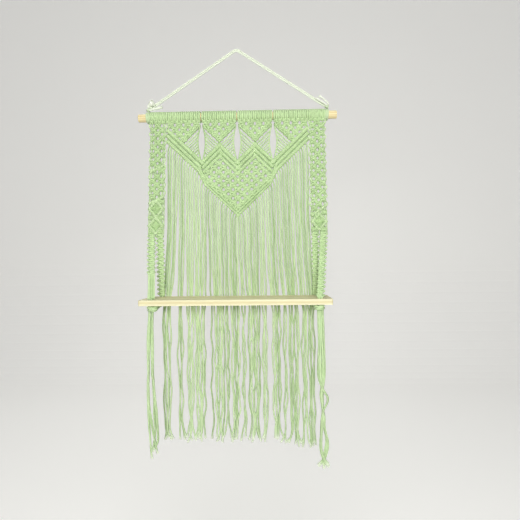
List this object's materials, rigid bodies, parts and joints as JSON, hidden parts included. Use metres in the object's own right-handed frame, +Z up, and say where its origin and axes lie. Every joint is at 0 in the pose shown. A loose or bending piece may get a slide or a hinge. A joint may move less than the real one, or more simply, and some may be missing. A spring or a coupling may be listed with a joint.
{
  "type": "hanging rope shelf",
  "caption": "Knotted-cord wall hanging on a wooden dowel, with a long fringe and a small wooden shelf held by braided legs.",
  "frame": {"origin": "the point under the top of the hanging cord that rests on a nail", "axes": "+Z up, -Y the front, +X to the right as one looks at the front; the dowel lies along X"},
  "size_m": [0.4984, 0.1373, 1.0052],
  "materials": {
    "cord": "matt single-twist cotton cord",
    "dowel_pine": "sanded bare pine",
    "board_pine": "sanded bare pine"
  },
  "bodies": {
    "hanger": {"hanger_cord_lower": "cord", "hanger_cord_upper": "cord", "hanger_wrap_left": "cord", "hanger_knot_left": "cord", "hanger_end_left_1": "cord", "hanger_end_left_2": "cord", "hanger_wrap_right": "cord", "hanger_knot_right": "cord", "hanger_end_right_1": "cord", "hanger_end_right_2": "cord"},
    "panel": {"dowel": "dowel_pine", "heads_band_left": "cord", "heads_band_right": "cord", "heads_section_1": "cord", "heads_section_2": "cord", "heads_section_3": "cord", "heads_section_4": "cord", "triangle_net_1": "cord", "triangle_net_2": "cord", "triangle_net_3": "cord", "triangle_net_4": "cord", "slit_1_left_fan": "cord", "slit_1_right_fan": "cord", "slit_2_left_fan": "cord", "slit_2_right_fan": "cord", "slit_3_left_fan": "cord", "slit_3_right_fan": "cord", "zigzag_ridge_upper": "cord", "zigzag_ridge_inner_1": "cord", "zigzag_ridge_inner_2": "cord", "v_border_1": "cord", "v_border_2": "cord", "centre_net": "cord", "fringe_1": "cord", "fringe_2": "cord", "fringe_3": "cord", "fringe_4": "cord", "fringe_5": "cord", "fringe_6": "cord", "fringe_7": "cord", "fringe_8": "cord", "band_net_left": "cord", "band_net_right": "cord", "band_diamonds_left": "cord", "band_diamonds_right": "cord"},
    "shelf": {"shelf_board": "board_pine", "leg_front_left": "cord", "leg_front_right": "cord", "leg_back_left": "cord", "leg_back_right": "cord", "under_run_left": "cord", "under_run_right": "cord", "under_knot_left": "cord", "under_knot_right": "cord"},
    "left_tail": {"tail_left": "cord"},
    "right_tail": {"tail_right": "cord"}
  },
  "joints": [
    {"name": "dowel_turn", "type": "hinge", "parent": "hanger", "child": "panel", "pos_m": [0, 0, -0.162], "axis": [-1, 0, 0], "range_deg": [0, 20]},
    {"name": "shelf_tip", "type": "hinge", "parent": "panel", "child": "shelf", "pos_m": [0, -0.036, -0.457], "axis": [-1, 0, 0], "range_deg": [0, 12]},
    {"name": "left_tail_swing", "type": "hinge", "parent": "shelf", "child": "left_tail", "pos_m": [-0.192, -0.113, -0.6345], "axis": [-1, 0, 0], "range_deg": [-15, 40]},
    {"name": "right_tail_swing", "type": "hinge", "parent": "shelf", "child": "right_tail", "pos_m": [0.192, -0.113, -0.6345], "axis": [-1, 0, 0], "range_deg": [-15, 40]}
  ]
}
